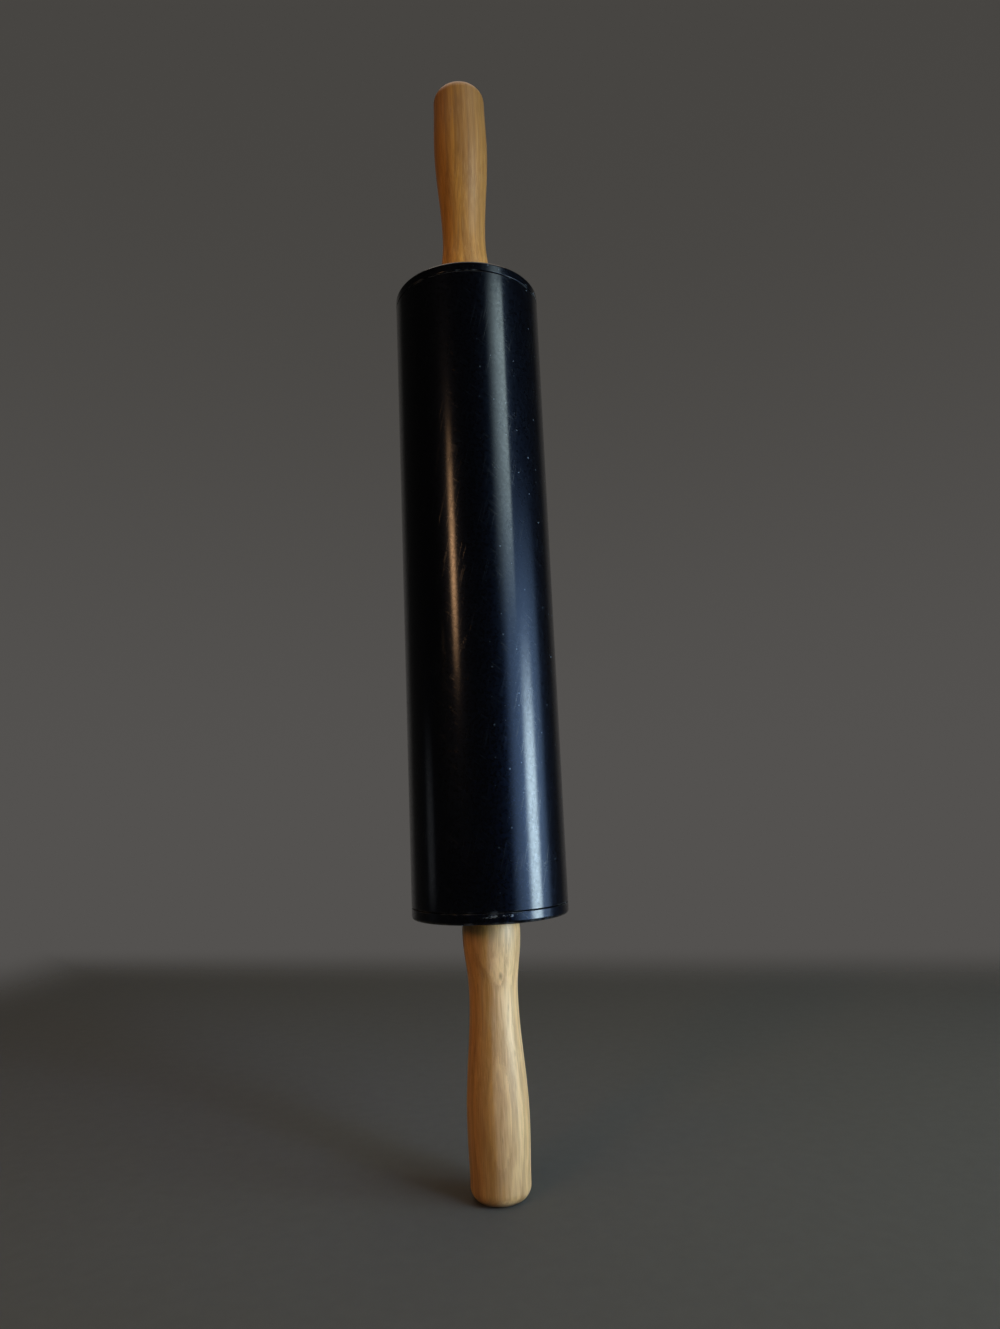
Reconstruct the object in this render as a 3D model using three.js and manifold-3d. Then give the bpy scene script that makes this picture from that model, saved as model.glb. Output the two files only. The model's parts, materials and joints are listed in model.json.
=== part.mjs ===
// A rolling pin: a black-coated steel roller that turns on two ball bearings, a steel axle through it, and two
// turned wooden handles screwed onto the axle's ends. Millimetres, +Z up. The pin stands on the flat end of its
// lower handle, and the origin is the middle of that end.

import * as THREE from "three";
import { mergeVertices } from "three/addons/utils/BufferGeometryUtils.js";
import Module from "manifold-3d";

const wasm = await Module();
wasm.setup();

// Driving dimensions of the whole pin
const OVERALL_LENGTH = 455;
const ROLLER_LENGTH = 254;
const ROLLER_RADIUS = 30;
const TUBE_WALL = 1.5;
const HANDLE_REACH = (OVERALL_LENGTH - ROLLER_LENGTH) / 2;

// Gap left between pieces that press, touch or run on each other, and the wider one at the visible seam
const CLEARANCE = 0.15;
const SEAM = 0.3;

// Sides of the round pieces, and steps along the curved stretches of the handle
const ROLLER_SIDES = 44;
const HANDLE_SIDES = 28;
const SMALL_SIDES = 24;
const ARC_STEPS = 2;
const BALL_FACETS = [8, 6];
const HANDLE_STEPS = { neck: 3, toWaist: 5, toBelly: 7, toEnd: 3, end: 4 };

// The two ends are alike, so one end is described, with heights measured outwards from the roller's end plane.

// End cap: a rim flush with the tube, a dished face, a boss round the axle's hole, a hub for the bearing and a
// spigot that presses into the tube
const CAP = {
  rimHeight: 4.2,
  rimRound: 1.2,
  lipRadius: 26.5,
  dishRadius: 25,
  dishDepth: 1.2,
  bossRadius: 14.5,
  bossFace: -0.5,
  holeRadius: 9,
  webThickness: 1.6,
  seatTop: -2.2,
  hubWall: 2.4,
  hubEnd: -10,
  spigotWall: 1.6,
  spigotEnd: -14,
};

// Ball bearing of the common 8 x 22 x 7 size
const BEARING = {
  bore: 4,
  innerShoulder: 6,
  outerShoulder: 9,
  outside: 11,
  width: 7,
  ballRadius: 1.985,
  ballCount: 7,
  pitchRadius: 7.5,
  shieldThickness: 0.5,
  shieldInset: 0.2,
  shieldRadius: 9.45,
  shieldGap: 0.3,
  cageThickness: 1.2,
  cageWidth: 5.1,
};
const BEARING_TOP = CAP.seatTop - CLEARANCE;
const BEARING_MIDDLE = BEARING_TOP - BEARING.width / 2;
const BEARING_BOTTOM = BEARING_TOP - BEARING.width;
const GROOVE_RADIUS = BEARING.ballRadius + CLEARANCE;

// Axle, and the small pieces clamped on it between the handle's neck and the circlip
const AXLE = { radius: BEARING.bore - CLEARANCE, reach: 33, chamfer: 0.8, grooveRadius: 3.2, spareDepth: 2 };
const CIRCLIP = { thickness: 1, outerRadius: 6.4, halfGap: 0.5 };
const CIRCLIP_TOP = BEARING_BOTTOM - CLEARANCE;
const WASHER = { radius: 8.5, thickness: 1 };
const INSERT = { radius: 6.15, length: 25, waist: 0.7, waistLength: 9, chamfer: 0.6, spareDepth: 0.8 };

// Handle: turning points of its outline, as height and radius
const NECK = { height: 1.2, radius: 10 };
const BEAD = { height: 6, radius: 11.05 };
const WAIST = { height: 28.5, radius: 9.2 };
const BELLY = { height: 74, radius: 11.65 };
const END_ROUND = 5;
const END = { height: HANDLE_REACH - END_ROUND, radius: 11.2 };
const INSERT_POCKET = NECK.height + INSERT.length + INSERT.spareDepth;
const AXLE_POCKET = AXLE.reach + AXLE.spareDepth;
const WASHER_TOP = NECK.height - CLEARANCE;
const WASHER_BOTTOM = WASHER_TOP - WASHER.thickness;
const COLLAR_TOP = WASHER_BOTTOM - CLEARANCE;

// Finishes
const BLACK_COATING = { color: 0x0c0d10, roughness: 0.15, metalness: 0.1 };
const BRIGHT_STEEL = { color: 0xc4c6c8, roughness: 0.25, metalness: 1 };
const CAGE_STEEL = { color: 0x9c9a94, roughness: 0.4, metalness: 1 };
const SPRING_STEEL = { color: 0x3a3b3d, roughness: 0.45, metalness: 1 };
const BRASS = { color: 0xb8923f, roughness: 0.35, metalness: 1 };
const LACQUERED_WOOD = { color: 0xb48a55, roughness: 0.4, metalness: 0 };

const point = (radius, height) => new THREE.Vector2(radius, height);

// A turned piece: an outline of radius and height, spun about the Z axis
function turned(outline, sides) {
  return new THREE.LatheGeometry(outline, sides).rotateX(Math.PI / 2);
}

// A plain ring between two radii and two heights
function ring(innerRadius, outerRadius, bottom, top, sides = SMALL_SIDES) {
  const outline = [
    point(innerRadius, bottom),
    point(outerRadius, bottom),
    point(outerRadius, top),
    point(innerRadius, top),
    point(innerRadius, bottom),
  ];
  return turned(outline, sides);
}

// A closed mesh as a solid for cutting, and a cut solid back as a mesh
function toSolid(geometry) {
  const bare = geometry.clone();
  bare.deleteAttribute("normal");
  bare.deleteAttribute("uv");
  const merged = mergeVertices(bare);
  const vertProperties = new Float32Array(merged.attributes.position.array);
  const triVerts = new Uint32Array(merged.index.array);
  return new wasm.Manifold(new wasm.Mesh({ numProp: 3, vertProperties, triVerts }));
}

function toGeometry(solid) {
  const mesh = solid.getMesh();
  const geometry = new THREE.BufferGeometry();
  geometry.setAttribute("position", new THREE.BufferAttribute(mesh.vertProperties, 3));
  geometry.setIndex(new THREE.BufferAttribute(mesh.triVerts, 1));
  geometry.computeVertexNormals();
  return geometry;
}

// Steel tube between the two caps' rims, open at both ends
function rollerTube() {
  const half = ROLLER_LENGTH / 2 - CAP.rimHeight - SEAM / 2;
  return ring(ROLLER_RADIUS - TUBE_WALL, ROLLER_RADIUS, -half, half, ROLLER_SIDES);
}

// End cap, spun from one outline that runs up the outside and back down through the hub
function endCap() {
  const spigotRadius = ROLLER_RADIUS - TUBE_WALL - CLEARANCE;
  const seatRadius = BEARING.outside + CLEARANCE;
  const hubRadius = seatRadius + CAP.hubWall;
  const webBottom = -CAP.dishDepth - CAP.webThickness;
  const rimBottom = SEAM / 2 - CAP.rimHeight;
  const outline = new THREE.Path();
  outline.moveTo(spigotRadius, CAP.spigotEnd);
  outline.lineTo(spigotRadius, rimBottom);
  outline.lineTo(ROLLER_RADIUS, rimBottom);
  outline.lineTo(ROLLER_RADIUS, -CAP.rimRound);
  outline.absarc(ROLLER_RADIUS - CAP.rimRound, -CAP.rimRound, CAP.rimRound, 0, Math.PI / 2);
  outline.lineTo(CAP.lipRadius, 0);
  outline.lineTo(CAP.dishRadius, -CAP.dishDepth);
  outline.lineTo(CAP.bossRadius, -CAP.dishDepth);
  outline.lineTo(CAP.bossRadius + CAP.bossFace, CAP.bossFace);
  outline.lineTo(CAP.holeRadius, CAP.bossFace);
  outline.lineTo(CAP.holeRadius, CAP.seatTop);
  outline.lineTo(seatRadius, CAP.seatTop);
  outline.lineTo(seatRadius, CAP.hubEnd);
  outline.lineTo(hubRadius, CAP.hubEnd);
  outline.lineTo(hubRadius, webBottom);
  outline.lineTo(spigotRadius - CAP.spigotWall, webBottom);
  outline.lineTo(spigotRadius - CAP.spigotWall, CAP.spigotEnd);
  outline.closePath();
  return turned(outline.getPoints(ARC_STEPS), ROLLER_SIDES);
}

// Half the angle that a ball's groove takes out of a ring's shoulder, seen from the ball's middle
function grooveAngle(shoulder) {
  return Math.acos(Math.abs(BEARING.pitchRadius - shoulder) / GROOVE_RADIUS);
}

// Outer ring, with a round groove for the balls and a step at each face for a shield
function bearingOuterRing() {
  const seat = BEARING.shieldRadius + CLEARANCE;
  const step = BEARING.shieldInset + BEARING.shieldThickness + CLEARANCE;
  const angle = grooveAngle(BEARING.outerShoulder);
  const outline = new THREE.Path();
  outline.moveTo(seat, BEARING_BOTTOM);
  outline.lineTo(BEARING.outside, BEARING_BOTTOM);
  outline.lineTo(BEARING.outside, BEARING_TOP);
  outline.lineTo(seat, BEARING_TOP);
  outline.lineTo(seat, BEARING_TOP - step);
  outline.lineTo(BEARING.outerShoulder, BEARING_TOP - step);
  outline.absarc(BEARING.pitchRadius, BEARING_MIDDLE, GROOVE_RADIUS, angle, -angle, true);
  outline.lineTo(BEARING.outerShoulder, BEARING_BOTTOM + step);
  outline.lineTo(seat, BEARING_BOTTOM + step);
  outline.closePath();
  return turned(outline.getPoints(ARC_STEPS), SMALL_SIDES);
}

// Inner ring, with a round groove for the balls
function bearingInnerRing() {
  const angle = grooveAngle(BEARING.innerShoulder);
  const outline = new THREE.Path();
  outline.moveTo(BEARING.bore, BEARING_BOTTOM);
  outline.lineTo(BEARING.innerShoulder, BEARING_BOTTOM);
  outline.absarc(BEARING.pitchRadius, BEARING_MIDDLE, GROOVE_RADIUS, Math.PI + angle, Math.PI - angle, true);
  outline.lineTo(BEARING.innerShoulder, BEARING_TOP);
  outline.lineTo(BEARING.bore, BEARING_TOP);
  outline.closePath();
  return turned(outline.getPoints(ARC_STEPS), SMALL_SIDES);
}

// Thin flat shield in the outer ring's step, clear of the inner ring
function bearingShield(bottom) {
  const inner = BEARING.innerShoulder + BEARING.shieldGap;
  return ring(inner, BEARING.shieldRadius, bottom, bottom + BEARING.shieldThickness);
}

// Middle of one ball, counted round the bearing
function ballPlace(index) {
  const turn = (2 * Math.PI * index) / BEARING.ballCount;
  return new THREE.Vector3(
    BEARING.pitchRadius * Math.cos(turn),
    BEARING.pitchRadius * Math.sin(turn),
    BEARING_MIDDLE,
  );
}

// Cage: a thin band with a round pocket for each ball
function bearingCage() {
  const inner = BEARING.pitchRadius - BEARING.cageThickness / 2;
  const outer = BEARING.pitchRadius + BEARING.cageThickness / 2;
  const bottom = BEARING_MIDDLE - BEARING.cageWidth / 2;
  const top = BEARING_MIDDLE + BEARING.cageWidth / 2;
  let band = toSolid(ring(inner, outer, bottom, top));
  for (let i = 0; i < BEARING.ballCount; i++) {
    const pocket = new THREE.SphereGeometry(GROOVE_RADIUS + CLEARANCE, ...BALL_FACETS);
    const place = ballPlace(i);
    pocket.translate(place.x, place.y, place.z);
    band = band.subtract(toSolid(pocket));
  }
  return toGeometry(band);
}

function bearingBall(index) {
  const place = ballPlace(index);
  const ball = new THREE.SphereGeometry(BEARING.ballRadius, ...BALL_FACETS);
  return ball.translate(place.x, place.y, place.z);
}

// Axle rod about its own middle, with chamfered ends and a groove for each circlip
function axleRod() {
  const half = ROLLER_LENGTH / 2 + AXLE.reach;
  const grooveOuter = ROLLER_LENGTH / 2 + CIRCLIP_TOP + CLEARANCE;
  const grooveInner = grooveOuter - CIRCLIP.thickness - 2 * CLEARANCE;
  const upperHalf = [
    point(AXLE.radius, grooveInner),
    point(AXLE.grooveRadius, grooveInner),
    point(AXLE.grooveRadius, grooveOuter),
    point(AXLE.radius, grooveOuter),
    point(AXLE.radius, half - AXLE.chamfer),
    point(AXLE.radius - AXLE.chamfer, half),
    point(0, half),
  ];
  const lowerHalf = upperHalf.map((p) => point(p.x, -p.y)).reverse();
  return turned([...lowerHalf, ...upperHalf], SMALL_SIDES);
}

// Circlip: a flat spring ring, open on one side, in the axle's groove
function circlip() {
  const inner = AXLE.grooveRadius + CLEARANCE;
  const clip = new THREE.Shape();
  clip.absarc(0, 0, CIRCLIP.outerRadius, CIRCLIP.halfGap, 2 * Math.PI - CIRCLIP.halfGap);
  clip.absarc(0, 0, inner, 2 * Math.PI - CIRCLIP.halfGap, CIRCLIP.halfGap, true);
  const settings = { depth: CIRCLIP.thickness, bevelEnabled: false, curveSegments: SMALL_SIDES / 2 };
  const geometry = new THREE.ExtrudeGeometry(clip, settings);
  return geometry.translate(0, 0, CIRCLIP_TOP - CIRCLIP.thickness);
}

function spacerCollar() {
  return ring(BEARING.bore, BEARING.innerShoulder, BEARING_TOP + CLEARANCE, COLLAR_TOP);
}

function thrustWasher() {
  return ring(BEARING.bore, WASHER.radius, WASHER_BOTTOM, WASHER_TOP);
}

// Brass sleeve in the handle's neck, drawn in at its middle so that glue holds it
function threadedInsert() {
  const bottom = NECK.height;
  const top = bottom + INSERT.length;
  const middle = (bottom + top) / 2;
  const waistRadius = INSERT.radius - INSERT.waist;
  const waistBottom = middle - INSERT.waistLength / 2;
  const waistTop = middle + INSERT.waistLength / 2;
  const outline = [
    point(BEARING.bore, bottom),
    point(INSERT.radius, bottom),
    point(INSERT.radius, waistBottom - INSERT.waist),
    point(waistRadius, waistBottom),
    point(waistRadius, waistTop),
    point(INSERT.radius, waistTop + INSERT.waist),
    point(INSERT.radius, top - INSERT.chamfer),
    point(INSERT.radius - INSERT.chamfer, top),
    point(BEARING.bore, top),
    point(BEARING.bore, bottom),
  ];
  return turned(outline, SMALL_SIDES);
}

// Smooth run from one turning point of the handle to the next, as half of a cosine wave
function halfWave(from, to, steps) {
  const run = [];
  for (let i = 1; i <= steps; i++) {
    const share = i / steps;
    const rise = (1 - Math.cos(Math.PI * share)) / 2;
    const radius = THREE.MathUtils.lerp(from.radius, to.radius, rise);
    run.push(point(radius, THREE.MathUtils.lerp(from.height, to.height, share)));
  }
  return run;
}

// A quarter of an ellipse in steps, as offsets that start along the radius and end along the height
function quarter(alongRadius, alongHeight, steps) {
  const run = [];
  for (let i = 0; i <= steps; i++) {
    const turn = (Math.PI / 2) * (i / steps);
    run.push(point(alongRadius * Math.cos(turn), alongHeight * Math.sin(turn)));
  }
  return run;
}

// Turned handle: a blind bore for the insert and the axle's end, a bead at the neck, a waist, a long belly and a
// rounded end with a flat in its middle
function handle() {
  const pocketRadius = INSERT.radius + CLEARANCE;
  const axlePocketRadius = AXLE.radius + 2 * CLEARANCE;
  const bore = [
    point(0, AXLE_POCKET),
    point(axlePocketRadius, AXLE_POCKET),
    point(axlePocketRadius, INSERT_POCKET),
    point(pocketRadius, INSERT_POCKET),
    point(pocketRadius, NECK.height),
  ];
  const neckRun = quarter(BEAD.radius - NECK.radius, NECK.height - BEAD.height, HANDLE_STEPS.neck).reverse();
  const neck = neckRun.map((p) => point(NECK.radius + p.x, BEAD.height + p.y));
  const endRun = quarter(END_ROUND, END_ROUND, HANDLE_STEPS.end).slice(1);
  const end = endRun.map((p) => point(END.radius - END_ROUND + p.x, END.height + p.y));
  const outline = [
    ...bore,
    ...neck,
    ...halfWave(BEAD, WAIST, HANDLE_STEPS.toWaist),
    ...halfWave(WAIST, BELLY, HANDLE_STEPS.toBelly),
    ...halfWave(BELLY, END, HANDLE_STEPS.toEnd),
    ...end,
    point(0, HANDLE_REACH),
  ];
  return turned(outline, HANDLE_SIDES);
}

function piece(name, geometry, finish) {
  const mesh = new THREE.Mesh(geometry, new THREE.MeshStandardMaterial(finish));
  mesh.name = name;
  return mesh;
}

// Every piece of one end of the pin, with +Z outwards from the roller's end plane
function buildEnd(end) {
  const group = new THREE.Group();
  const add = (name, geometry, finish) => group.add(piece(`${end}_${name}`, geometry, finish));
  const outerShield = BEARING_TOP - BEARING.shieldInset - BEARING.shieldThickness;
  const innerShield = BEARING_BOTTOM + BEARING.shieldInset;
  add("end_cap", endCap(), BLACK_COATING);
  add("bearing_outer_ring", bearingOuterRing(), BRIGHT_STEEL);
  add("bearing_inner_ring", bearingInnerRing(), BRIGHT_STEEL);
  add("bearing_outer_shield", bearingShield(outerShield), CAGE_STEEL);
  add("bearing_inner_shield", bearingShield(innerShield), CAGE_STEEL);
  add("bearing_cage", bearingCage(), CAGE_STEEL);
  for (let i = 0; i < BEARING.ballCount; i++) {
    add(`bearing_ball_${i + 1}`, bearingBall(i), BRIGHT_STEEL);
  }
  add("circlip", circlip(), SPRING_STEEL);
  add("spacer_collar", spacerCollar(), BRIGHT_STEEL);
  add("thrust_washer", thrustWasher(), BRIGHT_STEEL);
  add("threaded_insert", threadedInsert(), BRASS);
  add("handle", handle(), LACQUERED_WOOD);
  return group;
}

const middleHeight = OVERALL_LENGTH / 2;
const rollingPin = new THREE.Group();

const tube = piece("roller_tube", rollerTube(), BLACK_COATING);
tube.position.z = middleHeight;
const axle = piece("axle_rod", axleRod(), BRIGHT_STEEL);
axle.position.z = middleHeight;
const upperEnd = buildEnd("upper");
upperEnd.position.z = middleHeight + ROLLER_LENGTH / 2;
const lowerEnd = buildEnd("lower");
lowerEnd.position.z = middleHeight - ROLLER_LENGTH / 2;
lowerEnd.rotation.x = Math.PI;

rollingPin.add(tube, axle, upperEnd, lowerEnd);

export default rollingPin;
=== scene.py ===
# Looks of a rolling pin: a black-coated steel roller on two ball bearings, a steel axle, and two turned
# wooden handles. Sizes are in millimetres, the main ones read from the CAD frame; meshes are in metres.

import json
import math

import bpy
import numpy as np
from mathutils import Matrix, Vector


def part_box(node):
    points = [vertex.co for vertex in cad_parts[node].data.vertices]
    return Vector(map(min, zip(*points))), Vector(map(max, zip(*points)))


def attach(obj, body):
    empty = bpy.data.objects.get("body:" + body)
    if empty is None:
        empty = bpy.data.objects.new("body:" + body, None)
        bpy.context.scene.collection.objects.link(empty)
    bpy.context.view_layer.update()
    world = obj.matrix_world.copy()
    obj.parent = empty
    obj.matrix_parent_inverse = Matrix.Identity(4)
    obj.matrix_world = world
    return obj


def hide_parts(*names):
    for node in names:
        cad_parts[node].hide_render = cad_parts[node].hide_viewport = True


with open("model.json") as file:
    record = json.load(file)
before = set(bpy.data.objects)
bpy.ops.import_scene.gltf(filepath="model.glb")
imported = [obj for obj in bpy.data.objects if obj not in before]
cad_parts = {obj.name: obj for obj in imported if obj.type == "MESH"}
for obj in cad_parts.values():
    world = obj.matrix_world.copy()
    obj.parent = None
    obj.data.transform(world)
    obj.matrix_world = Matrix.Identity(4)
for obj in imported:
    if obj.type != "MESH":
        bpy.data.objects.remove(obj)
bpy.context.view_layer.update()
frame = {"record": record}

MM = 0.001
record = frame["record"]
body_of_node = {node: body for body, nodes in record["behaviour"]["bodies"].items() for node in nodes}

# Main sizes, read from the CAD nodes
TUBE_LOW, TUBE_HIGH = (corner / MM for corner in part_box("roller_tube"))
ROLLER_RADIUS = TUBE_HIGH.x
ROLLER_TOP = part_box("upper_end_cap")[1].z / MM
ROLLER_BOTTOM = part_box("lower_end_cap")[0].z / MM
ROLLER_MIDDLE = (ROLLER_TOP + ROLLER_BOTTOM) / 2
END_REACH = ROLLER_TOP - ROLLER_MIDDLE
HANDLE_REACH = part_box("upper_handle")[1].z / MM - ROLLER_TOP

# The two ends are alike, so one is described, with heights outwards from the roller's end plane.
# Each end has its plane's Z and the way that its heights run.
ENDS = {"upper": (ROLLER_TOP, 1), "lower": (ROLLER_BOTTOM, -1)}
WHOLE = (ROLLER_MIDDLE, 1)

# Gaps, as in the CAD model
CLEARANCE = 0.15
SEAM = 0.3

# End cap, with the roundings of its edges and corners
TUBE_WALL = 1.5
RIM_BOTTOM = TUBE_HIGH.z - ROLLER_TOP + SEAM
RIM_ROUND = 1.2
EDGE_ROUND = 0.22
LIP_RADIUS = 26.5
DISH_RADIUS = 25
DISH_DEPTH = 1.2
DISH_ROUND = 0.6
BOSS_RADIUS = 14.5
BOSS_FACE = -0.5
BOSS_ROUND = 0.3
BOSS_FOOT_ROUND = 0.4
HOLE_RADIUS = 9
SEAT_TOP = -2.2
SEAT_RADIUS = 11.15
SEAT_ROUND = 0.3
SEAT_EDGE_ROUND = 0.1
HUB_RADIUS = 13.55
HUB_END = -10
HUB_ROUND = 0.4
WEB_THICKNESS = 1.6
WEB_BOTTOM = -DISH_DEPTH - WEB_THICKNESS
WEB_ROUND = 0.8
SPIGOT_RADIUS = ROLLER_RADIUS - TUBE_WALL - CLEARANCE
SPIGOT_WALL = 1.6
SPIGOT_END = -14
SPIGOT_ROUND = 0.4
SPIGOT_CORNER_ROUND = 0.2

# Ball bearing of the 8 x 22 x 7 size
BORE = 4
INNER_SHOULDER = 6
INNER_EASING = 0.3
OUTER_SHOULDER = 9
OUTER_EASING = 0.4
BEARING_RADIUS = 11
BEARING_WIDTH = 7
BEARING_TOP = SEAT_TOP - CLEARANCE
BEARING_MIDDLE = BEARING_TOP - BEARING_WIDTH / 2
BEARING_BOTTOM = BEARING_TOP - BEARING_WIDTH
BALL_RADIUS = 1.985
BALL_COUNT = 7
PITCH_RADIUS = 7.5
GROOVE_RADIUS = BALL_RADIUS + CLEARANCE
CAGE_WIDTH = 1.2
RIBBON_THICKNESS = 0.3
RIBBON_GAP = RIBBON_THICKNESS / 6
SHIELD_RADIUS = 9.45
SHIELD_GAP = 0.3
SHIELD_THICKNESS = 0.5
SHIELD_INSET = 0.2
SHIELD_ROUND = 0.15

# Axle and the small pieces on it
AXLE_RADIUS = BORE - CLEARANCE
AXLE_REACH = 33
AXLE_CHAMFER = 0.8
AXLE_GROOVE = 3.2
AXLE_SPARE = 2
CIRCLIP_TOP = BEARING_BOTTOM - CLEARANCE
CIRCLIP_THICKNESS = 1
CIRCLIP_HALF_GAP = 0.5
CIRCLIP_NARROW = 4.6
CIRCLIP_WIDE = 5.5
LUG_RADIUS = 6.4
LUG_SPAN = 0.36
LUG_EASE = 0.12
THREAD_PITCH = 1.25
THREAD_DEPTH = 0.6
THREAD_LEAD = 1
COLLAR_ROUND = 0.2
WASHER_RADIUS = 8.5
WASHER_THICKNESS = 1
WASHER_ROUND = 0.25
INSERT_RADIUS = 6.15
INSERT_LENGTH = 25
INSERT_WAIST = 0.7
INSERT_WAIST_LENGTH = 9
INSERT_CHAMFER = 0.6
INSERT_MOUTH = 0.3
INSERT_LEAD = 0.4
INSERT_SPARE = 0.8
KNURL_DEPTH = 0.25
KNURL_COUNT = 36

# Handle outline's turning points, as (radius, height), and the roundings in its bore
NECK = (10, 1.2)
BEAD = (11.05, 6)
WAIST = (9.2, 28.5)
BELLY = (11.65, 74)
END_ROUND = 5
SHOULDER = (11.2, HANDLE_REACH - END_ROUND)
INSERT_POCKET = (INSERT_RADIUS + CLEARANCE, NECK[1] + INSERT_LENGTH + INSERT_SPARE)
AXLE_POCKET = (AXLE_RADIUS + 2 * CLEARANCE, AXLE_REACH + AXLE_SPARE)
POCKET_ROUND = 0.3
MOUTH_ROUND = 0.4
WASHER_TOP = NECK[1] - CLEARANCE
WASHER_BOTTOM = WASHER_TOP - WASHER_THICKNESS
COLLAR_TOP = WASHER_BOTTOM - CLEARANCE

# Fineness of the meshes: sides of round pieces, and steps along their outlines
ROLLER_SIDES = 192
HANDLE_SIDES = 160
SMALL_SIDES = 96
FINE_SIDES = 2 * SMALL_SIDES
BALL_SIDES = 40
CORNER_STEPS = 6
ARC_STEPS = 24
WAVE_STEPS = (40, 60, 30)
GROOVE_STEPS = 16
THREAD_STEP = THREAD_PITCH / 8
KNURL_STEP = 0.25
SHARP_ANGLE = math.radians(30)

# Camera, at the photograph's viewing angle
PHOTO_WIDTH = 1000
PHOTO_HEIGHT = 1329
FOCAL_PIXELS = 860.2
SENSOR = 36
NEAR_CLIP = 10
LOOK_UP = 0.155
ROLL = -0.0428
CAMERA_DISTANCE = 344.9
CAMERA_PAN = -7.75
AIM_BELOW_MIDDLE = 29.9


def new_object(name, data):
    """A new object in the scene."""
    made = bpy.data.objects.new(name, data)
    bpy.context.scene.collection.objects.link(made)
    return made


def add_camera():
    """A level camera tilted up by LOOK_UP and rolled by ROLL, at its distance from a point on the axis."""
    right = Vector((math.cos(ROLL), -math.sin(LOOK_UP) * math.sin(ROLL), math.cos(LOOK_UP) * math.sin(ROLL)))
    up = Vector((-math.sin(ROLL), -math.sin(LOOK_UP) * math.cos(ROLL), math.cos(LOOK_UP) * math.cos(ROLL)))
    forward = Vector((0, math.cos(LOOK_UP), math.sin(LOOK_UP)))
    aim = Vector((0, 0, ROLLER_MIDDLE - AIM_BELOW_MIDDLE))
    place = (aim - CAMERA_PAN * right - CAMERA_DISTANCE * forward) * MM
    lens = bpy.data.cameras.new("camera")
    lens.sensor_width = SENSOR
    lens.lens = SENSOR * FOCAL_PIXELS / max(PHOTO_WIDTH, PHOTO_HEIGHT)
    lens.clip_start = NEAR_CLIP * MM
    camera = new_object("camera", lens)
    turn = Matrix((right, up, -forward)).transposed()
    camera.matrix_world = Matrix.Translation(place) @ turn.to_4x4()
    bpy.context.scene.camera = camera


# Outlines


def unit(vector):
    return vector / np.linalg.norm(vector)


def rounded(corners, closed=True):
    """Outline of straight runs with rounded corners, as points and their outward normals.

    A corner is (radius, height, rounding). It becomes an arc tangent to both of its runs, whose middle lies
    on the corner's bisector at rounding / sin(half of the angle). The material is on the left of the
    direction of travel. An outline that is not closed starts and ends at plain points.
    """
    corners = np.array(corners, float)
    points, normals = [], []
    for i, (radius, height, rounding) in enumerate(corners):
        corner = np.array((radius, height))
        if not closed and i in (0, len(corners) - 1):
            run = corners[1] - corners[0] if i == 0 else corners[-1] - corners[-2]
            run = unit(run[:2])
            points.append(corner[None])
            normals.append(np.array([[run[1], -run[0]]]))
            continue
        back = unit(corners[i - 1][:2] - corner)
        ahead = unit(corners[(i + 1) % len(corners)][:2] - corner)
        half = math.acos(np.clip(back @ ahead, -1, 1)) / 2
        middle = corner + unit(back + ahead) * rounding / math.sin(half)
        start = unit(corner + back * rounding / math.tan(half) - middle)
        finish = unit(corner + ahead * rounding / math.tan(half) - middle)
        sweep = math.pi - 2 * half
        share = np.linspace(0, 1, CORNER_STEPS + 1)[:, None]
        arc = (np.sin((1 - share) * sweep) * start + np.sin(share * sweep) * finish) / math.sin(sweep)
        turns_left = back[1] * ahead[0] - back[0] * ahead[1] > 0
        points.append(middle + rounding * arc)
        normals.append(arc if turns_left else -arc)
    return np.concatenate(points), np.concatenate(normals)


def ring_outline(inner, outer, bottom, top, rounding):
    """Section of a plain ring, with its four corners rounded."""
    corners = ((inner, bottom), (outer, bottom), (outer, top), (inner, top))
    return rounded([(*corner, rounding) for corner in corners])


def half_wave(start, finish, steps):
    """Smooth run between two turning points: radius follows half a cosine wave over height."""
    share = np.linspace(0, 1, steps + 1)[1:]
    rise = (1 - np.cos(np.pi * share)) / 2
    radius = start[0] + (finish[0] - start[0]) * rise
    return np.column_stack((radius, start[1] + (finish[1] - start[1]) * share))


def side_normals(points):
    """Normals of a smooth run, square to its slope and on the right of the direction of travel."""
    slope = np.gradient(points, axis=0)
    slope /= np.linalg.norm(slope, axis=1)[:, None]
    return np.column_stack((slope[:, 1], -slope[:, 0]))


# Meshes


def grid_faces(rows, columns, closed_rows, flipped):
    """Corner numbers of the quads of a grid whose columns close on themselves."""
    last = rows if closed_rows else rows - 1
    row, column = np.meshgrid(np.arange(last), np.arange(columns), indexing="ij")
    row, column = row.ravel(), column.ravel()
    beyond_row, beyond_column = (row + 1) % rows, (column + 1) % columns
    quads = np.column_stack((
        row * columns + column,
        row * columns + beyond_column,
        beyond_row * columns + beyond_column,
        beyond_row * columns + column,
    ))
    return quads[:, ::-1] if flipped else quads


def pole_faces(rows, columns, flipped):
    """Corner numbers of the triangles from a grid's first and last rows to the two poles listed after it."""
    column = np.arange(columns)
    beyond = (column + 1) % columns
    top = (rows - 1) * columns
    first = np.column_stack((np.full(columns, rows * columns), beyond, column))
    last = np.column_stack((top + column, top + beyond, np.full(columns, rows * columns + 1)))
    fans = np.vstack((first, last))
    return fans[:, ::-1] if flipped else fans


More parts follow.
